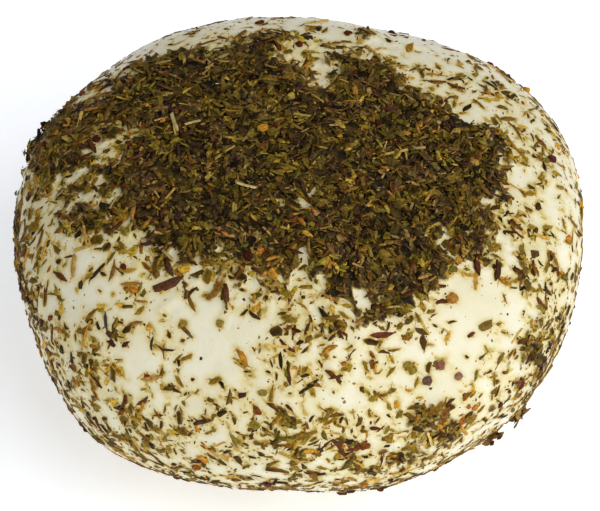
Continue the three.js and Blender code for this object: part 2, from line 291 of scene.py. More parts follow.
def smooth_radius(d):
    """Distance from the middle to the smooth skin, in millimetres, along each unit direction."""
    level = np.hypot(d[:, 0] / HALF_WIDTH, d[:, 1] / HALF_DEPTH) ** PROFILE_POWER
    rise = (np.abs(d[:, 2]) / HALF_HEIGHT) ** PROFILE_POWER
    total = (level + rise) ** (FLAT_POWER / PROFILE_POWER)
    for azimuth, tilt, distance in FLATS:
        facing = np.maximum(0.0, d @ to_directions(azimuth, tilt))
        total += (facing / distance) ** FLAT_POWER
    return total ** (-1.0 / FLAT_POWER)


def lumps(d):
    x, y, z = d.T
    broad = np.sin(7 * x + 4 * y + 1) * np.sin(6 * z - 3 * x + 2)
    return broad + 0.7 * np.sin(11 * y - 6 * z + 0.5) * np.sin(9 * x + 5 * y)


def raggedness(d):
    """How far the edges of the herb patches stray, in degrees."""
    x, y, z = d.T
    return (
        1.1 * np.sin(13 * x + 8 * y + 1.3)
        + 1.0 * np.sin(21 * y - 13 * z + 0.4)
        + 0.9 * np.sin(33 * x - 27 * y + 9 * z)
    )


def herb_cover(d, stray=0.0):
    """Herb cover along each direction. Stray, in degrees, moves the edges of the patches further."""
    polar = np.degrees(np.arccos(np.clip(d[:, 2], -1.0, 1.0)))
    azimuth = np.degrees(np.arctan2(d[:, 1], d[:, 0]))
    ragged = raggedness(d) + stray
    cover = SIDE_COVER + (LOW_COVER - SIDE_COVER) * smoothstep(polar, *LOW_BAND)
    cap_edge = np.interp(azimuth, *zip(*CAP_EDGE), period=360)
    in_cap = 1.0 - smoothstep(polar - cap_edge + 1.5 * ragged, -CAP_SOFTNESS, CAP_SOFTNESS)
    cover += (1.0 - cover) * in_cap
    for patch_polar, azimuth, radius, edge, level in PATCHES:
        centre = to_directions(azimuth, 90 - patch_polar)
        away = np.degrees(np.arccos(np.clip(d @ centre, -1.0, 1.0))) + ragged
        inside = 1.0 - smoothstep(away, radius - edge, radius + edge)
        cover += (level - cover) * inside
    return cover


def crease_height(d):
    """Height in millimetres of the creases, along each direction."""
    total = np.zeros(len(d))
    for start, end, height, width in CREASES:
        first = to_directions(start[0], 90 - start[1])
        run = to_directions(end[0], 90 - end[1]) - first
        along = np.clip((d - first) @ run / (run @ run), 0.0, 1.0)
        away = HALF_WIDTH * np.linalg.norm(d - first - along[:, None] * run, axis=1)
        total += height * np.exp(-((away / width) ** 2))
    return total


# Building in Blender


def linear(red, green, blue):
    """A colour given as 0 to 255 on screen, as the linear RGBA that a shader takes."""
    channels = [c / 255 for c in (red, green, blue)]
    return tuple(c / 12.92 if c <= 0.04045 else ((c + 0.055) / 1.055) ** 2.4 for c in channels) + (1.0,)


class Wire:
    """A node's output. Arithmetic on it adds Math nodes."""

    def __init__(self, graph, socket):
        self.graph = graph
        self.socket = socket

    def math(self, operation, *values):
        return self.graph.node("ShaderNodeMath", {"operation": operation}, dict(enumerate(values)))

    def __add__(self, other):
        return self.math("ADD", self, other)

    def __sub__(self, other):
        return self.math("SUBTRACT", self, other)

    def __rsub__(self, other):
        return self.math("SUBTRACT", other, self)

    def __mul__(self, other):
        return self.math("MULTIPLY", self, other)

    def __truediv__(self, other):
        return self.math("DIVIDE", self, other)

    def __pow__(self, other):
        return self.math("POWER", self, other)

    __radd__ = __add__
    __rmul__ = __mul__

    def fraction(self):
        return self.math("FRACT", self)

    def exponential(self):
        return self.math("EXPONENT", self)


class Graph:
    """A node tree under construction, of a material or of Geometry Nodes."""

    def __init__(self, tree):
        self.tree = tree

    def node(self, kind, settings=None, inputs=None, output=0):
        made = self.tree.nodes.new(kind)
        for name, value in (settings or {}).items():
            if name == "stops":
                self.set_stops(made.color_ramp, value)
            else:
                setattr(made, name, value)
        for name, value in (inputs or {}).items():
            self.plug(value, made.inputs[name])
        return Wire(self, made.outputs[output]) if made.outputs else None

    def plug(self, value, socket):
        if isinstance(value, Wire):
            self.tree.links.new(value.socket, socket)
        else:
            socket.default_value = value

    def set_stops(self, ramp, stops):
        while len(ramp.elements) < len(stops):
            ramp.elements.new(1.0)
        for element, (position, colour) in zip(ramp.elements, stops):
            element.position = position
            element.color = colour

    def output_of(self, wire, name):
        return Wire(self, wire.socket.node.outputs[name])


class Finish(Graph):
    """A material's nodes, ending in one Principled shader."""

    def __init__(self, name):
        self.material = bpy.data.materials.new(name)
        self.material.use_nodes = True
        super().__init__(self.material.node_tree)
        self.tree.nodes.clear()
        self.place = self.node("ShaderNodeTexCoord", output="Object")

    def attribute(self, name):
        return self.node("ShaderNodeAttribute", {"attribute_name": name}, output="Fac")

    def colour_attribute(self, name):
        return self.node("ShaderNodeAttribute", {"attribute_name": name}, output="Color")

    def grain(self, size, detail=2.0):
        """Noise from 0 to 1 whose features are about as large as size, in metres."""
        inputs = {"Vector": self.place, "Scale": 1.0 / size, "Detail": detail, "Roughness": 0.6}
        return self.node("ShaderNodeTexNoise", inputs=inputs, output="Fac")

    def ramp(self, value, stops):
        return self.node("ShaderNodeValToRGB", {"stops": stops}, {"Fac": value}, output="Color")

    def between(self, value, low, high):
        inputs = {"Value": value, "From Min": low, "From Max": high}
        return self.node("ShaderNodeMapRange", {"interpolation_type": "SMOOTHSTEP"}, inputs)

    def mix(self, factor, first, second, blend="MIX"):
        settings = {"data_type": "RGBA", "blend_type": blend}
        return self.node("ShaderNodeMix", settings, {0: factor, 6: first, 7: second}, output=2)

    def close(self, bump=None, bump_depth=0.0, **sockets):
        inputs = {name.replace("_", " "): value for name, value in sockets.items()}
        if bump is not None:
            inputs["Normal"] = self.node("ShaderNodeBump", inputs={"Height": bump, "Distance": bump_depth})
        shader = self.node("ShaderNodeBsdfPrincipled", inputs=inputs)
        self.node("ShaderNodeOutputMaterial", inputs={"Surface": shader})
        return self.material


def new_mesh(name, vertices, faces, smooth=False):
    mesh = bpy.data.meshes.new(name)
    mesh.from_pydata([tuple(v) for v in vertices], [], [tuple(f) for f in faces])
    mesh.polygons.foreach_set("use_smooth", [smooth] * len(mesh.polygons))
    mesh.update()
    return mesh


def new_object(name, data):
    made = bpy.data.objects.new(name, data)
    bpy.context.scene.collection.objects.link(made)
    return made


def point_at(thing, place, aim):
    """Puts a lamp or a camera at a place, looking at the aim."""
    thing.location = place
    thing.rotation_euler = (aim - place).to_track_quat("-Z", "Y").to_euler()


def store(mesh, name, values):
    attribute = mesh.attributes.new(name, "FLOAT", "POINT")
    attribute.data.foreach_set("value", np.asarray(values, dtype=np.float32))


# Paste


def unit_grid(cuts):
    """Directions spread evenly over a sphere, as a cube's grid pushed out to it, with its square faces."""
    grid = bmesh.new()
    bmesh.ops.create_cube(grid, size=2.0)
    bmesh.ops.subdivide_edges(grid, edges=grid.edges[:], cuts=cuts, use_grid_fill=True)
    corners = np.array([v.co[:] for v in grid.verts])
    faces = [[v.index for v in f.verts] for f in grid.faces]
    grid.free()
    even = np.tan(corners * math.pi / 4)
    return even / np.linalg.norm(even, axis=1, keepdims=True), faces


def noise_at(d, size_mm, seed):
    """Smooth noise from -1 to 1 over the round, with features about as large as size_mm."""
    offset = Vector((seed * 17.3, seed * 5.1, -seed * 9.7))
    scale = HALF_WIDTH / size_mm
    return np.array([noise.noise(Vector(v) * scale + offset) for v in d])


def skin(d, settings):
    """Points of the skin in metres, and the herb cover there."""
    cover = herb_cover(d, settings.stray * (noise_at(d, *FRAYS) + 0.6 * noise_at(d, *FINE_FRAYS)))
    crust = smoothstep(cover, *CRUST_RISE)
    reach = smooth_radius(d) + LUMP_HEIGHT * lumps(d) + CRUST_THICKNESS * crust + crease_height(d)
    hand_made = noise_at(d, *SMEARS) * settings.smear_depth / MM
    pressed = noise_at(d, *DIMPLES) * settings.dimple_depth / MM
    heaped = np.abs(noise_at(d, *HEAPS)) * settings.heap_height / MM
    reach = reach + hand_made + pressed * (1 - crust) + heaped * crust
    to_floor = MIDDLE_HEIGHT / np.maximum(-d[:, 2], 1e-6)
    reach = np.minimum(reach, to_floor)
    points = d * reach[:, None] + np.array([0, 0, MIDDLE_HEIGHT])
    return points * MM, cover


def paste_finish(settings):
    """Moist paste: clouded cream, dyed where herbs lie dense and round each one, dark under the crust.

    Under the crust the colour is herb brown, near black in patches: partly the herbs' own colour,
    partly painted shade of the gaps between them.
    """
    f = Finish("Moist paste")
    cloud = f.between(f.grain(0.012, 3.0), 0.35, 0.65)
    clean = f.mix(cloud, settings.white, settings.cream)
    steeped = f.between(f.attribute("slivers") + 0.6 * f.grain(0.003, 3.0), 0.55, 1.25)
    white = f.mix(steeped, clean, settings.halo)
    near = f.attribute("stain")
    blotch = f.between(f.grain(0.0014, 3.0), 0.3, 0.62)
    halo = f.mix(f.between(near, 0.1, 0.75) * (0.45 + 0.55 * blotch), white, settings.halo)
    stained = f.mix(f.between(near * (0.4 + 0.6 * blotch), 0.5, 0.95), halo, settings.stain)
    # Herb brown to near black under the crust: partly the herbs' own colour, partly painted shade of the gaps
    # between the herbs.
    bed = f.mix(f.between(f.grain(0.0016, 2.0), 0.35, 0.6), settings.bed, settings.bed_dark_and_gap_shade)
    share = f.attribute("bed")
    ragged = share + 0.7 * f.grain(0.0012, 3.0)
    dyed = f.mix(f.between(f.grain(0.0007, 2.0), 0.4, 0.6), settings.stain, settings.bed)
    edge = f.mix(f.between(ragged, 0.52, 0.86), stained, dyed)
    # Where the crust is dense the paste takes that colour, painted gap shade included.
    colour = f.mix(f.between(share, 0.5, 0.95), edge, bed)
    damp = f.grain(0.004, 3.0)
    fine_bumps = f.grain(0.0009, 4.0) + 2.0 * f.grain(0.0035, 2.0)
    return f.close(
        bump=fine_bumps,
        bump_depth=0.00012,
        Base_Color=colour,
        Roughness=0.34 + 0.2 * damp + 0.4 * share,
        Specular_IOR_Level=0.2,
        Subsurface_Weight=0.3,
        Subsurface_Radius=(1.0, 0.85, 0.6),
        Subsurface_Scale=0.003,
        Coat_Weight=0.2 * (1 - share),
        Coat_Roughness=0.25,
    )


# Herb shapes, one unit long, lying along X with their face up


def leaf_chip(draw, sides=6):
    """A crumb of leaf: a thin, curled chip with a ridge along it and an uneven edge."""
    width = draw.uniform(0.34, 0.72)
    curl = draw.uniform(-0.5, 0.5)
    thickness = draw.uniform(0.05, 0.08)
    rim = []
    for i in range(sides):
        angle = 2 * math.pi * (i + draw.uniform(-0.3, 0.3)) / sides
        reach = 0.5 * draw.uniform(0.65, 1.1)
        x = reach * math.cos(angle)
        y = reach * width * math.sin(angle)
        rim.append((x, y, curl * (y * y - 0.5 * x * x) + draw.uniform(-0.05, 0.05)))
    lift = draw.uniform(0.0, 0.06)
    ridge = [(-0.2, 0, lift), (0.2, draw.uniform(-0.05, 0.05), lift)]
    top = [(x, y, z + thickness) for x, y, z in ridge]
    under = [(x, y, z - thickness) for x, y, z in ridge]
    vertices = rim + top + under
    faces = []
    for i in range(sides):
        j = (i + 1) % sides
        end = sides + (0 if rim[i][0] + rim[j][0] < 0 else 1)
        faces.append((i, j, end))
        faces.append((j, i, end + 2))
    for i in range(sides):
        before, after = rim[i - 1][0] + rim[i][0] < 0, rim[i][0] + rim[(i + 1) % sides][0] < 0
        if before != after:
            first, second = (sides, sides + 1) if before else (sides + 1, sides)
            faces.append((i, second, first))
            faces.append((i, first + 2, second + 2))
    edge = [1.0] * sides + [0.0] * 4
    return vertices, faces, edge


def flake(draw, sides=5, width=(0.26, 0.6), thickness=0.07):
    """A sliver or a fine flake: flat, with a jagged edge that thins out from the middle of each face."""
    across = draw.uniform(*width)
    curl = draw.uniform(-0.4, 0.4)
    vertices = []
    for i in range(sides):
        angle = 2 * math.pi * (i + draw.uniform(-0.3, 0.3)) / sides
        reach = 0.5 * draw.uniform(0.6, 1.1)
        x = reach * math.cos(angle)
        vertices.append((x, reach * across * math.sin(angle), -curl * x * x))
    middle = draw.uniform(-0.12, 0.12)
    vertices += [(middle, 0.0, thickness), (middle, 0.0, -thickness)]
    faces = []
    for i in range(sides):
        j = (i + 1) % sides
        faces.append((i, j, sides))
        faces.append((j, i, sides + 1))
    return vertices, faces, [1.0] * sides + [0.0] * 2


def needle(draw, girth=(0.1, 0.17)):
    """A rosemary or savory needle: slender, a little bent, broken or pointed at its ends."""
    sides = 4
    rings = 4
    half = draw.uniform(*girth)
    bend = draw.uniform(-0.12, 0.12)
    blunt = draw.uniform(0.15, 0.8)
    vertices = []
    edge = []
    for r in range(rings):
        along = r / (rings - 1)
        taper = (blunt, 1.0, draw.uniform(0.85, 1.0), draw.uniform(0.1, 0.6))[r]
        centre = bend * (4 * along * (1 - along) - 0.5)
        turn = draw.uniform(0, 0.4)
        for s in range(sides):
            angle = 2 * math.pi * s / sides + turn
            side = half * taper * math.cos(angle)
            vertices.append((along - 0.5, centre + side, 0.55 * half * taper * math.sin(angle)))
            edge.append(abs(math.cos(angle)))
    faces = []
    for r in range(rings - 1):
        for s in range(sides):
            a = r * sides + s
            b = r * sides + (s + 1) % sides
            faces.append((a, b, b + sides, a + sides))
    faces.append(tuple(range(sides))[::-1])
    faces.append(tuple((rings - 1) * sides + s for s in range(sides)))
    return vertices, [f[::-1] for f in faces], edge


def stalk(draw, sides=5):
    """A chip of stem: a thin straw with cut ends."""
    half = draw.uniform(0.05, 0.09)
    bend = draw.uniform(-0.06, 0.06)
    vertices = []
    for along, shift in ((-0.5, 0.0), (0.0, bend), (0.5, 0.0)):
        slant = draw.uniform(-0.05, 0.05)
        for s in range(sides):
            angle = 2 * math.pi * s / sides
            y = half * math.cos(angle)
            vertices.append((along + slant * y / half, shift + y, 0.7 * half * math.sin(angle)))
    faces = []
    for r in range(2):
        for s in range(sides):
            a = r * sides + s
            b = r * sides + (s + 1) % sides
            faces.append((a + sides, b + sides, b, a))
    faces.append(tuple(range(sides)))
    faces.append(tuple(2 * sides + s for s in range(sides))[::-1])
    return vertices, faces, [0.0] * len(vertices)


def crumb(draw, flatness=0.8):
    """An angular crumb of pepper or berry."""
    roughness = 0.16
    ball = bmesh.new()
    bmesh.ops.create_icosphere(ball, subdivisions=2, radius=0.5)
    stretch = draw.uniform(0.65, 0.95)
    offset = Vector((draw.uniform(-50, 50), draw.uniform(-50, 50), draw.uniform(-50, 50)))
    vertices = []
    for v in ball.verts:
        swell = 1 + roughness * (2.4 * noise.noise(v.co * 3.1 + offset) + draw.uniform(-0.4, 0.4))
        vertices.append((v.co.x * swell, v.co.y * swell * stretch, v.co.z * swell * flatness))
    faces = [tuple(v.index for v in f.verts) for f in ball.faces]
    ball.free()
    return vertices, faces, [0.0] * len(vertices)


def shape_collection(name, shape, count, seed, smooth=False, **options):
    """A collection of several shapes of one kind, for the scatter to pick from."""
    draw = random.Random(seed)
    collection = bpy.data.collections.new(name)
    for i in range(count):
        vertices, faces, edge = shape(draw, **options)
        mesh = new_mesh(f"{name}.{i}", vertices, faces, smooth)
        store(mesh, "edge", edge)
        collection.objects.link(bpy.data.objects.new(f"{name}.{i}", mesh))
    return collection


def remove_with_mesh(piece):
    mesh = piece.data
    bpy.data.objects.remove(piece)
    bpy.data.meshes.remove(mesh)


def remove_collection(collection):
    for source in list(collection.objects):
        remove_with_mesh(source)
    bpy.data.collections.remove(collection)


# Scattering with Geometry Nodes

SCATTER_INPUTS = {
    "Skin": "Geometry",
    "Pieces": "Collection",
    "Follows": "String",
    "Most per square metre": "Float",
    "Shortest": "Float",
    "Longest": "Float",
    "Sink": "Float",
    "Pile": "Float",
    "Lean": "Float",
    "Seed": "Int",
    "Finish": "Material",
}
CLOSENESS_INPUTS = {"Skin": "Geometry", "Herbs": "Collection", "Reach": "Float"}


def geometry_graph(name, inputs, output):
    """Starts a tree that gives out one geometry.

    Returns its graph, and a function that finds the wire of an input by its name.
    """
    tree = bpy.data.node_groups.new(name, "GeometryNodeTree")
    for title, kind in inputs.items():
        tree.interface.new_socket(name=title, in_out="INPUT", socket_type="NodeSocket" + kind)
    tree.interface.new_socket(name=output, in_out="OUTPUT", socket_type="NodeSocketGeometry")
    g = Graph(tree)
    start = g.node("NodeGroupInput")
    return g, lambda title: g.output_of(start, title)


def scatter_tree():
    """Scatters a collection's shapes over the skin, as densely as one of its attributes says."""
    g, given = geometry_graph("Scatter on the skin", SCATTER_INPUTS, "Scattered")

    def luck(step, low=0.0, high=1.0):
        seed = given("Seed") + step
        return g.node(
            "FunctionNodeRandomValue", {"data_type": "FLOAT"}, {2: low, 3: high, "Seed": seed}, output=1
        )

    def named(attribute):
        return g.node("GeometryNodeInputNamedAttribute", {"data_type": "FLOAT"}, {"Name": attribute})

    points = g.node(
        "GeometryNodeDistributePointsOnFaces",
        {"distribute_method": "RANDOM"},
        {
            "Mesh": given("Skin"),
            "Density": named(given("Follows")) * given("Most per square metre"),
            "Seed": given("Seed"),
        },
    )
    normal = g.output_of(points, "Normal")
    upright = g.output_of(points, "Rotation")
    bed = named("bed")
    height = bed * given("Pile") * luck(1) - (1 - bed) * given("Sink") * luck(2)
    offset = g.node("ShaderNodeVectorMath", {"operation": "SCALE"}, {0: normal, "Scale": height})
    lean = given("Lean") * (0.25 + 0.75 * bed)
    spin = g.node("ShaderNodeCombineXYZ", inputs={"Z": luck(3, 0.0, 2 * math.pi)})
    tip = g.node("ShaderNodeCombineXYZ", inputs={"X": lean * luck(4, -1.0), "Y": lean * luck(5, -1.0)})
    for euler in (tip, spin):
        turn = g.node("FunctionNodeEulerToRotation", inputs={"Euler": euler})
        upright = g.node(
            "FunctionNodeRotateRotation",
            {"rotation_space": "LOCAL"},
            {"Rotation": upright, "Rotate By": turn},
        )
    size = given("Shortest") + (given("Longest") - given("Shortest")) * luck(6) ** 1.6
    size = size * (1.12 - 0.12 * bed)
    tinted = g.node(
        "GeometryNodeStoreNamedAttribute",
        {"data_type": "FLOAT", "domain": "POINT"},
        {"Geometry": points, "Name": "tint", "Value": luck(7)},
    )
    moved = g.node("GeometryNodeSetPosition", inputs={"Geometry": tinted, "Offset": offset})
    shapes = g.node(
        "GeometryNodeCollectionInfo",
        inputs={"Collection": given("Pieces"), "Separate Children": True, "Reset Children": True},
    )
    placed = g.node(
        "GeometryNodeInstanceOnPoints",
        inputs={
            "Points": moved,
            "Instance": shapes,
            "Pick Instance": True,
            "Rotation": upright,
            "Scale": size,
        },
    )
    real = g.node("GeometryNodeRealizeInstances", inputs={"Geometry": placed})
    finished = g.node("GeometryNodeSetMaterial", inputs={"Geometry": real, "Material": given("Finish")})
    g.node("NodeGroupOutput", inputs={"Scattered": finished})
    return g.tree


def closeness_tree():
    """Writes on the skin how close it is to the herbs: 1 against them, fading with distance."""
    g, given = geometry_graph("Closeness to the herbs", CLOSENESS_INPUTS, "Marked")
    herbs = g.node("GeometryNodeCollectionInfo", inputs={"Collection": given("Herbs")})
    real = g.node("GeometryNodeRealizeInstances", inputs={"Geometry": herbs})
    distance = g.node("GeometryNodeProximity", {"target_element": "FACES"}, {0: real}, output="Distance")
    fade = (-1.0 * distance / given("Reach")).exponential()
    marked = g.node(
        "GeometryNodeStoreNamedAttribute",
        {"data_type": "FLOAT", "domain": "POINT"},
        {"Geometry": given("Skin"), "Name": "stain", "Value": fade},
    )
    g.node("NodeGroupOutput", inputs={"Marked": marked})
    return g.tree


def run_tree(name, tree, base, values):
    """A new piece: the tree's result on a copy of the base mesh, with its inputs set by name."""
    piece = new_object(name, base.copy())
    modifier = piece.modifiers.new(name, "NODES")
    modifier.node_group = tree
    for item in tree.interface.items_tree:
        if item.item_type == "SOCKET" and item.in_out == "INPUT" and item.name in values:
            modifier[item.identifier] = values[item.name]
    graph = bpy.context.evaluated_depsgraph_get()
    graph.update()
    result = bpy.data.meshes.new_from_object(piece.evaluated_get(graph), depsgraph=graph)
    piece.modifiers.clear()
    copied = piece.data
    piece.data = result
    result.name = name
    bpy.data.meshes.remove(copied)
    return piece


def scatter(name, shapes, finish, follows, per_square_mm, sizes, *, sink, pile, lean, seed):
    """A piece of herbs of one kind over the paste, as densely as the attribute that it follows says.

    Sizes are the shortest and the longest. They, sink and pile are in metres, and lean is in radians.
    """
    tree = bpy.data.node_groups.get("Scatter on the skin") or scatter_tree()
    values = {
        "Pieces": shapes,
        "Follows": follows,
        "Most per square metre": per_square_mm / MM**2,
        "Shortest": sizes[0],
        "Longest": sizes[1],
        "Sink": sink,
        "Pile": pile,
        "Lean": lean,
        "Seed": seed,
        "Finish": finish,
    }
    piece = run_tree(name, tree, bpy.data.objects["paste"].data, values)
    remove_collection(shapes)
    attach(piece, "root")


def herb_finish(name, stops, mottle=0.5, edge_colour=None, roughness=0.6, own_colour=False):
    """Dried herb: darker and purplish in patches of the crust, warmer on the open paste.

    The colour comes from the stops, each with its colour on screen, or with own_colour from the mesh. Edges
    may have a colour of their own.
    """
    f = Finish(name)
    tint = f.attribute("tint")
    stops = [(position, linear(*on_screen)) for position, on_screen in stops]
    base = f.colour_attribute("colour") if own_colour else f.ramp(tint, stops)
    speckle = f.between(f.grain(0.0005, 3.0), 0.3, 0.7)
    patch = f.between(f.grain(0.0045, 2.0), 0.36, 0.64)
    crust = f.attribute("bed")
    shade = (1 - mottle + 2 * mottle * speckle) * (1.08 - 0.42 * patch * crust)
    purple = f.between(f.grain(0.005, 3.0), 0.46, 0.62) * crust if edge_colour else 0.0
    warmth = 0.0 if own_colour else 1 - crust
    channels = {
        "Red": shade * (1 + 0.16 * warmth - 0.1 * purple),
        "Green": shade * (1 - 0.2 * purple),
        "Blue": shade * (1 - 0.48 * warmth + purple),
    }
    colour = f.mix(1.0, base, f.node("ShaderNodeCombineColor", inputs=channels), "MULTIPLY")
    if edge_colour:
        often = f.between((tint * 7.0).fraction(), 0.3, 0.9)
        share = (f.attribute("edge") ** 3.0) * often * (0.8 - 0.3 * crust)
        colour = f.mix(share, colour, edge_colour)
    return f.close(
        bump=f.grain(0.0004, 3.0),
        bump_depth=0.0001,
        Base_Color=colour,
        Roughness=roughness,
        Specular_IOR_Level=0.1,
    )


# Herbs put one by one

SINGLE_KINDS = {
    "needle": (needle, {"girth": (0.09, 0.12)}),
    "thick": (needle, {"girth": (0.13, 0.17)}),
    "chip": (leaf_chip, {"sides": 8}),
    "crumb": (crumb, {"flatness": 0.6}),
}
TUFT_COLOURS = ((84, 54, 22), (120, 84, 32), (52, 36, 18), (104, 88, 36), (150, 108, 44))


class Surface:
    """The paste's skin, to find places on."""

    def __init__(self, piece):
        self.tree = BVHTree.FromObject(piece, bpy.context.evaluated_depsgraph_get())

    def from_outside(self, azimuth, polar):
        """The place and its normal in a direction from the middle of the round."""
        middle = Vector((0, 0, MIDDLE_HEIGHT * MM))
        out = Vector(to_directions(azimuth, 90 - polar))
        return self.tree.ray_cast(middle + out * OUTSIDE, -out)[:2]

    def from_side(self, azimuth, height):
        """The place and its normal at a height in millimetres above the foot."""
        out = Vector(to_directions(azimuth, 0))
        return self.tree.ray_cast(Vector((0, 0, height * MM)) + out * OUTSIDE, -out)[:2]


def seen_heading(slant):
    """The direction that looks slanted by this angle in the camera's picture."""
    rise = bpy.context.scene.cheese_stage.elevation
    up = Vector((0, math.sin(rise), math.cos(rise)))
    return Vector((math.cos(slant), 0, 0)) + math.sin(slant) * up


def lying(spot, normal, heading, length):
    """The matrix that lays a shape of unit length on the skin, along a heading as far as the skin allows."""
    rise = bpy.context.scene.cheese_stage.elevation
    view = Vector((0, math.cos(rise), -math.sin(rise)))
    along = (heading - view * (heading.dot(normal) / min(view.dot(normal), -0.3))).normalized()
    side = normal.cross(along).normalized()
    turn = Matrix((side.cross(normal), side, normal)).transposed().to_quaternion()
    return Matrix.LocRotScale(spot, turn, Vector((length, length, length)))


class Heap:
    """Shapes gathered into one mesh, each with its colour."""

    def __init__(self):
        self.vertices = []
        self.faces = []
        self.colours = []

    def add(self, shape, matrix, colour):
        vertices, faces, _ = shape
        first = len(self.vertices)
        self.vertices += [matrix @ Vector(v) for v in vertices]
        self.faces += [[first + i for i in face] for face in faces]
        self.colours += [colour] * len(vertices)

    def mesh(self, name, finish):
        mesh = new_mesh(name, self.vertices, self.faces)
        colours = mesh.attributes.new("colour", "FLOAT_COLOR", "POINT")
        colours.data.foreach_set("color", np.array(self.colours, dtype=np.float32).ravel())
        mesh.materials.append(finish)
        return mesh


# Settings


def length_setting(name, description, default):
    return FloatProperty(name=name, description=description, default=default, unit="LENGTH")


def colour_setting(name, description, *on_screen):
    return FloatVectorProperty(
        name=name, description=description, subtype="COLOR", size=4, default=linear(*on_screen)
    )


class CheesePasteSettings(bpy.types.PropertyGroup):
    """Sizes and colours of the paste."""

    grid_cuts: IntProperty(name="Grid", description="Cuts along each edge of the paste's grid", default=123)
    smear_depth: length_setting("Smears", "Depth of the broad smears", 0.00022)
    dimple_depth: length_setting("Dimples", "Depth of the small dimples", 0.00012)
    heap_height: length_setting("Heaps", "Height of the heaped crust", 0.0005)
    stain_reach: length_setting("Stain reach", "How far herbs dye the paste", 0.00058)
    stray: FloatProperty(name="Stray", description="How far the herbs' patches fray, in degrees", default=7.0)
    white: colour_setting("White", "Paste", 236, 231, 205)
    cream: colour_setting("Cream", "Creamier paste", 231, 223, 189)
    stain: colour_setting("Stain", "Paste dyed by the herbs on it", 184, 152, 58)
    halo: colour_setting("Halo", "Paste a little way from the herbs", 224, 209, 150)
    # Herb brown under the crust, partly painted shade of the gaps between the herbs.
    bed: colour_setting("Bed", "Paste under the crust", 80, 60, 20)
    # Near black: the herbs' darkest colour, and painted shade of the deep gaps in the crust.
    bed_dark_and_gap_shade: colour_setting("Dark bed", "Darkest of the crust", 28, 20, 6)


class CheeseHerbSettings(bpy.types.PropertyGroup):
    """Lengths of the herb pieces."""

    leaf_longest: length_setting("Leaf", "Longest leaf chip", 0.0031)
    leaf_shortest: length_setting("Small leaf", "Shortest leaf chip", 0.0009)
    needle_longest: length_setting("Needle", "Longest needle", 0.0037)
    needle_shortest: length_setting("Short needle", "Shortest needle", 0.0013)
    sliver_longest: length_setting("Sliver", "Longest sliver", 0.0033)
    sliver_shortest: length_setting("Short sliver", "Shortest sliver", 0.0007)
    stalk_longest: length_setting("Stalk", "Longest stalk", 0.0045)
    stalk_shortest: length_setting("Short stalk", "Shortest stalk", 0.0012)
    pepper_longest: length_setting("Pepper", "Largest pepper crumb", 0.0019)
    dust_longest: length_setting("Dust", "Largest speck", 0.0009)
    crust_height: length_setting("Crust", "Height over which the crust's herbs lie", 0.0009)


class CheeseStageSettings(bpy.types.PropertyGroup):
    """Camera and light."""

    elevation: FloatProperty(
        name="Elevation", description="Of the camera", default=math.radians(45), unit="ROTATION"
    )
    distance: length_setting("Distance", "From the camera to its aim", 0.62)
    focal_pixels: FloatProperty(name="Focal length", description="In pixels of the photograph", default=3410)
    aim_across: length_setting("Aim across", "How far right of the middle the camera aims", 0.0001)
    aim_height: length_setting("Aim height", "How high above the foot the camera aims", 0.0281)
    key_power: FloatProperty(name="Key light", description="Power in watts", default=7.5)
    floor_glow: FloatProperty(name="Floor glow", description="Light the floor gives off", default=0.52)
    fill_strength: FloatProperty(name="Fill", description="Strength of the white surroundings", default=0.36)


# Operators


class CHEESE_OT_paste(bpy.types.Operator):
    """Model the paste and write on it where the herbs lie"""

    bl_idname = "cheese.paste"
    bl_label = "Paste"

    def execute(self, context):
        settings = context.scene.cheese_paste
        d, faces = unit_grid(settings.grid_cuts)
        points, cover = skin(d, settings)
        mesh = new_mesh("paste", points, faces, smooth=True)
        clear = smoothstep(points[:, 2] / MM, *BARE_FOOT)
        clumps = 0.95 + 1.6 * noise_at(d, *CLUMPS) + 1.2 * noise_at(d, *SMALL_CLUMPS)
        layers = -np.log(1 - 0.95 * cover) * np.maximum(0.06, clumps)
        bed = smoothstep(cover, *BED)
        counts = {kind: np.minimum(layers, most) for kind, most in MOST_LAYERS.items()}
        counts["leaves"] *= smoothstep(cover, -0.1, 0.6)
        for kind in ("leaves", "slivers", "needles"):
            counts[kind] *= 0.8 + 0.2 * bed
        counts["dust"] += 0.05
        counts["crumbs"] += 0.3
        store(mesh, "bed", bed)
        for kind, count in counts.items():
            store(mesh, kind, count * clear)
        store(mesh, "stain", np.zeros(len(points)))
        mesh.materials.append(paste_finish(settings))
        piece = new_object("paste", mesh)
        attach(piece, "root")
        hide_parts("cheese")
        return {"FINISHED"}


class CHEESE_OT_leaves(bpy.types.Operator):
    """Scatter the dried leaf, as chips and as slivers"""

    bl_idname = "cheese.leaves"
    bl_label = "Leaves"

    def execute(self, context):
        settings = context.scene.cheese_herbs
        stops = [
            (0.0, (28, 20, 6)), (0.14, (52, 38, 10)), (0.26, (72, 59, 14)), (0.38, (110, 93, 24)),
            (0.5, (58, 40, 20)), (0.6, (128, 108, 30)), (0.7, (96, 46, 16)), (0.78, (146, 124, 38)),
            (0.86, (94, 92, 32)), (0.94, (182, 155, 56)), (1.0, (176, 116, 34)),
        ]
        height = settings.crust_height
        finish = herb_finish("Dried leaf", stops, edge_colour=linear(162, 126, 40))
        shapes = shape_collection("Leaf chips", leaf_chip, 16, seed=3)
        sizes = (settings.leaf_shortest, settings.leaf_longest)
        scatter(
            "leaf_chips", shapes, finish, "leaves", 0.36, sizes,
            sink=0.00012, pile=height, lean=math.radians(38), seed=11,
        )
        shapes = shape_collection("Slivers", flake, 16, seed=4)
        sizes = (settings.sliver_shortest, settings.sliver_longest)
        scatter(
            "slivers", shapes, finish, "slivers", 0.58, sizes,
            sink=0.00008, pile=height, lean=math.radians(35), seed=12,
        )
        return {"FINISHED"}


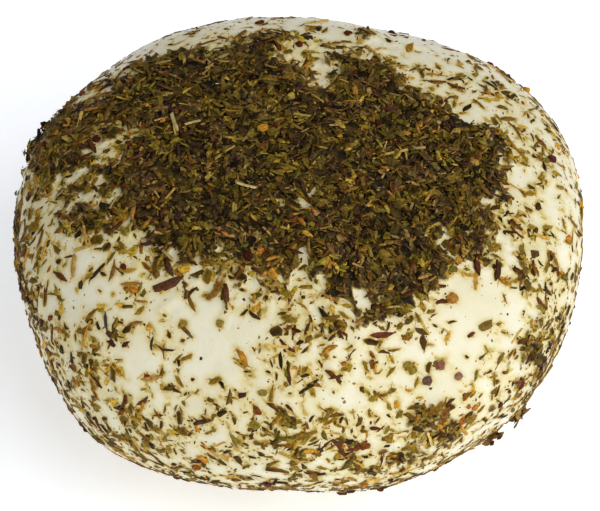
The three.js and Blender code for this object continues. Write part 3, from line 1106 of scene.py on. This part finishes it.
class CHEESE_OT_needles(bpy.types.Operator):
    """Scatter the needles"""

    bl_idname = "cheese.needles"
    bl_label = "Needles"

    def execute(self, context):
        settings = context.scene.cheese_herbs
        stops = [
            (0.0, (56, 34, 18)), (0.25, (84, 46, 20)), (0.45, (68, 46, 32)), (0.6, (104, 80, 26)),
            (0.75, (84, 78, 30)), (0.9, (142, 108, 38)), (1.0, (170, 122, 42)),
        ]
        finish = herb_finish("Dried needle", stops, edge_colour=linear(176, 128, 40), roughness=0.5)
        shapes = shape_collection("Needles", needle, 16, seed=5, smooth=True)
        sizes = (settings.needle_shortest, settings.needle_longest)
        height = settings.crust_height
        scatter(
            "needles", shapes, finish, "needles", 0.25, sizes,
            sink=0.00026, pile=height, lean=math.radians(20), seed=21,
        )
        return {"FINISHED"}


class CHEESE_OT_stalks(bpy.types.Operator):
    """Scatter the pale chips of stem"""

    bl_idname = "cheese.stalks"
    bl_label = "Stalks"

    def execute(self, context):
        settings = context.scene.cheese_herbs
        stops = [
            (0.0, (168, 132, 58)), (0.5, (190, 160, 88)), (0.8, (150, 126, 66)), (1.0, (206, 186, 128)),
        ]
        finish = herb_finish("Straw stalk", stops, mottle=0.25, roughness=0.5)
        shapes = shape_collection("Stalks", stalk, 8, seed=6)
        sizes = (settings.stalk_shortest, settings.stalk_longest)
        height = 1.2 * settings.crust_height
        scatter(
            "stalks", shapes, finish, "needles", 0.035, sizes,
            sink=0.00008, pile=height, lean=math.radians(20), seed=31,
        )
        return {"FINISHED"}


class CHEESE_OT_crumbs(bpy.types.Operator):
    """Scatter the pepper crumbs, and the finest specks"""

    bl_idname = "cheese.crumbs"
    bl_label = "Crumbs"

    def execute(self, context):
        settings = context.scene.cheese_herbs
        height = settings.crust_height
        stops = [
            (0.0, (56, 20, 12)), (0.4, (84, 34, 18)), (0.6, (60, 40, 32)), (0.8, (120, 60, 22)),
            (1.0, (176, 122, 40)),
        ]
        finish = herb_finish("Pepper", stops, mottle=0.4, roughness=0.5)
        shapes = shape_collection("Pepper crumbs", crumb, 8, seed=7)
        sizes = (0.35 * settings.pepper_longest, settings.pepper_longest)
        scatter(
            "pepper_crumbs", shapes, finish, "crumbs", 0.012, sizes,
            sink=0.0003, pile=height, lean=0.5, seed=41,
        )
        stops = [
            (0.0, (48, 34, 16)), (0.5, (92, 70, 28)), (0.8, (146, 112, 44)), (1.0, (176, 142, 70)),
        ]
        finish = herb_finish("Herb dust", stops, mottle=0.3)
        shapes = shape_collection("Specks", flake, 12, seed=8, width=(0.4, 0.9), thickness=0.14)
        sizes = (0.25 * settings.dust_longest, settings.dust_longest)
        scatter(
            "specks", shapes, finish, "dust", 0.55, sizes,
            sink=0.00004, pile=height, lean=0.5, seed=51,
        )
        return {"FINISHED"}


class CHEESE_OT_single_herbs(bpy.types.Operator):
    """Put the herbs that stand out where they lie, and the tufts"""

    bl_idname = "cheese.single_herbs"
    bl_label = "Single herbs"

    def execute(self, context):
        draw = random.Random(61)
        surface = Surface(bpy.data.objects["paste"])
        heap = Heap()
        for azimuth, polar, length, slant, kind, colour in SINGLE_HERBS:
            shape, options = SINGLE_KINDS[kind]
            spot, normal = surface.from_outside(azimuth, polar)
            matrix = lying(spot, normal, seen_heading(math.radians(slant)), length * MM)
            heap.add(shape(draw, **options), matrix, linear(*colour))
        for azimuth, height, pieces, spread, seed in TUFTS:
            draw = random.Random(seed)
            for i in range(pieces):
                sideways = math.degrees(spread * draw.uniform(-1, 1) / HALF_WIDTH)
                level = height + 0.5 * spread * draw.uniform(-1, 1)
                spot, normal = surface.from_side(azimuth + sideways, level)
                lift = TUFT_RISE[0] + (TUFT_RISE[1] - TUFT_RISE[0]) * i / pieces
                spot = spot + normal * lift * MM
                tilted = (normal + 0.6 * Vector([draw.uniform(-1, 1) for _ in range(3)])).normalized()
                heading = Vector([draw.uniform(-1, 1) for _ in range(3)])
                matrix = lying(spot, tilted, heading, draw.uniform(*TUFT_LENGTHS) * MM)
                heap.add(leaf_chip(draw), matrix, linear(*draw.choice(TUFT_COLOURS)))
        finish = herb_finish("Single herbs", [], mottle=0.35, own_colour=True, roughness=0.5)
        piece = new_object("single_herbs", heap.mesh("single_herbs", finish))
        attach(piece, "root")
        return {"FINISHED"}


class CHEESE_OT_stain(bpy.types.Operator):
    """Stain the paste round the herbs that lie on it, and strew fine amber bits there"""

    bl_idname = "cheese.stain"
    bl_label = "Stain"

    def execute(self, context):
        herbs = bpy.data.collections.new("Herbs")
        for name in ("leaf_chips", "slivers", "needles", "pepper_crumbs", "single_herbs"):
            herbs.objects.link(bpy.data.objects[name])
        paste = bpy.data.objects["paste"].data
        values = {"Herbs": herbs, "Reach": context.scene.cheese_paste.stain_reach}
        marked = run_tree("marked skin", closeness_tree(), paste, values)
        stain = np.empty(len(paste.vertices), dtype=np.float32)
        marked.data.attributes["stain"].data.foreach_get("value", stain)
        paste.attributes["stain"].data.foreach_set("value", stain)
        remove_with_mesh(marked)
        bpy.data.collections.remove(herbs)
        stops = [
            (0.0, (120, 84, 34)), (0.4, (168, 130, 58)), (0.8, (196, 164, 92)), (1.0, (150, 140, 70)),
        ]
        finish = herb_finish("Amber bits", stops, mottle=0.2)
        shapes = shape_collection("Amber bits", flake, 10, seed=9, width=(0.3, 0.8), thickness=0.1)
        sizes = (0.0002, 0.001)
        scatter(
            "amber_bits", shapes, finish, "stain", 0.4, sizes,
            sink=0.00003, pile=0.0, lean=0.2, seed=71,
        )
        return {"FINISHED"}


class CHEESE_OT_stage(bpy.types.Operator):
    """Set up the floor, the light and the camera"""

    bl_idname = "cheese.stage"
    bl_label = "Stage"

    def execute(self, context):
        settings = context.scene.cheese_stage
        signs = ((-1, -1), (1, -1), (1, 1), (-1, 1))
        corners = [(x * FLOOR_HALF, y * FLOOR_HALF, -FLOOR_DROP) for x, y in signs]
        floor = new_object("floor", new_mesh("floor", corners, [(0, 1, 2, 3)]))
        f = Finish("White floor")
        white = linear(241, 244, 250)
        glow = settings.floor_glow
        finish = f.close(Base_Color=white, Roughness=0.9, Emission_Color=white, Emission_Strength=glow)
        floor.data.materials.append(finish)

        world = bpy.data.worlds.new("White surroundings")
        world.use_nodes = True
        background = world.node_tree.nodes["Background"]
        background.inputs["Color"].default_value = (1, 1, 1, 1)
        background.inputs["Strength"].default_value = settings.fill_strength
        context.scene.world = world

        light = bpy.data.lights.new("key", "AREA")
        light.energy = settings.key_power
        light.size = LAMP_SIZE
        aim = Vector((0, 0, LAMP_AIM_HEIGHT))
        place = aim + Vector(to_directions(LAMP_AZIMUTH, LAMP_ELEVATION)) * LAMP_DISTANCE
        point_at(new_object("key", light), place, aim)

        camera = bpy.data.cameras.new("camera")
        camera.sensor_width = SENSOR_WIDTH
        camera.lens = settings.focal_pixels / IMAGE_WIDTH * SENSOR_WIDTH
        camera.clip_start = 0.01
        aim = Vector((settings.aim_across, 0, settings.aim_height))
        back = Vector((0, -math.cos(settings.elevation), math.sin(settings.elevation)))
        eye = new_object("camera", camera)
        point_at(eye, aim + back * settings.distance, aim)
        context.scene.camera = eye
        context.scene.view_settings.view_transform = "Standard"
        return {"FINISHED"}


class CHEESE_PT_sidebar(bpy.types.Panel):
    """Lists the cheese's parts and settings"""

    bl_idname = "CHEESE_PT_sidebar"
    bl_label = "Goat cheese"
    bl_space_type = "VIEW_3D"
    bl_region_type = "UI"
    bl_category = "Cheese"

    def draw(self, context):
        for operator in OPERATORS:
            self.layout.operator(operator.bl_idname)
        for group in SETTINGS:
            box = self.layout.box()
            for name in SETTINGS[group].__annotations__:
                box.prop(getattr(context.scene, group), name)


OPERATORS = (
    CHEESE_OT_paste,
    CHEESE_OT_leaves,
    CHEESE_OT_needles,
    CHEESE_OT_stalks,
    CHEESE_OT_crumbs,
    CHEESE_OT_single_herbs,
    CHEESE_OT_stain,
    CHEESE_OT_stage,
)
SETTINGS = {
    "cheese_paste": CheesePasteSettings,
    "cheese_herbs": CheeseHerbSettings,
    "cheese_stage": CheeseStageSettings,
}


def register():
    for cls in (*SETTINGS.values(), *OPERATORS, CHEESE_PT_sidebar):
        bpy.utils.register_class(cls)
    for name, group in SETTINGS.items():
        setattr(bpy.types.Scene, name, PointerProperty(type=group))


def unregister():
    for name in SETTINGS:
        delattr(bpy.types.Scene, name)
    for cls in (CHEESE_PT_sidebar, *OPERATORS, *SETTINGS.values()):
        bpy.utils.unregister_class(cls)


def main():
    register()
    for operator in OPERATORS:
        group, name = operator.bl_idname.split(".")
        getattr(getattr(bpy.ops, group), name)()


if __name__ == "__main__":
    main()
